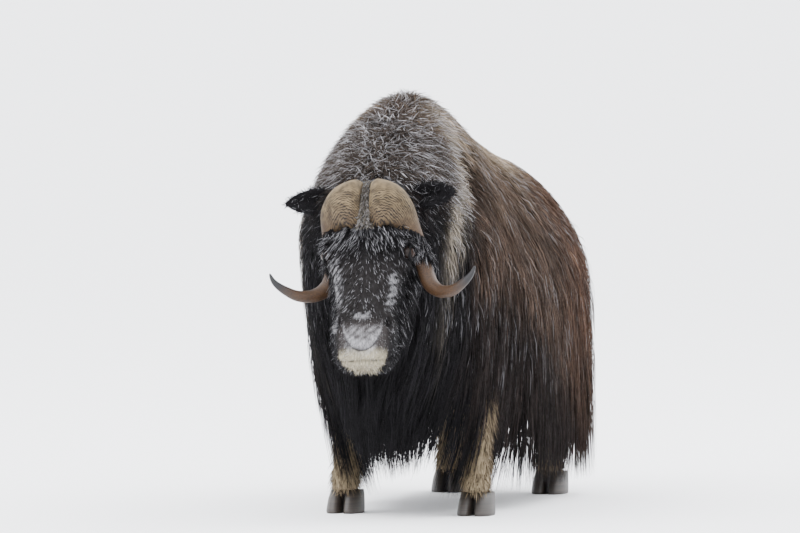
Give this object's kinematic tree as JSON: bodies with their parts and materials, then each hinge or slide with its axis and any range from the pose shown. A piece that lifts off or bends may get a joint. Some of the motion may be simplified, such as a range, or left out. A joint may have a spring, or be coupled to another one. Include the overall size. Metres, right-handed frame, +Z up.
{
  "type": "muskox",
  "caption": "Long-haired bull muskox standing with its head low, with a broad horn boss, hooked horns, a shaggy skirt of coat to the pasterns and cloven hooves",
  "frame": {"origin": "on the floor, under the centre of the bounding box", "axes": "+X is the animal's left, +Y its rear (it looks along -Y), +Z up"},
  "size_m": [0.7466, 2.19, 1.2907],
  "materials": {
    "coat_dark": "matt, long guard hair",
    "coat_brown": "matt, long guard hair",
    "coat_pale": "matt, short dense hair",
    "horn": "satin horn, rough over the boss",
    "hoof": "satin horn",
    "eye": "wet gloss"
  },
  "bodies": {
    "root": {"head": "coat_dark", "eye_left": "eye", "eye_right": "eye", "horn_left": "horn", "horn_right": "horn", "ear_left": "coat_dark", "ear_right": "coat_dark", "neck": "coat_dark", "shoulder_left": "coat_brown", "shoulder_right": "coat_brown", "flank_left": "coat_brown", "flank_right": "coat_brown", "rump_left": "coat_brown", "rump_right": "coat_brown", "tail": "coat_brown", "leg_front_left": "coat_pale", "leg_front_right": "coat_pale", "leg_hind_left": "coat_pale", "leg_hind_right": "coat_pale", "hoof_front_left_inner": "hoof", "hoof_front_left_outer": "hoof", "hoof_front_right_inner": "hoof", "hoof_front_right_outer": "hoof", "hoof_hind_left_inner": "hoof", "hoof_hind_left_outer": "hoof", "hoof_hind_right_inner": "hoof", "hoof_hind_right_outer": "hoof"}
  },
  "joints": []
}
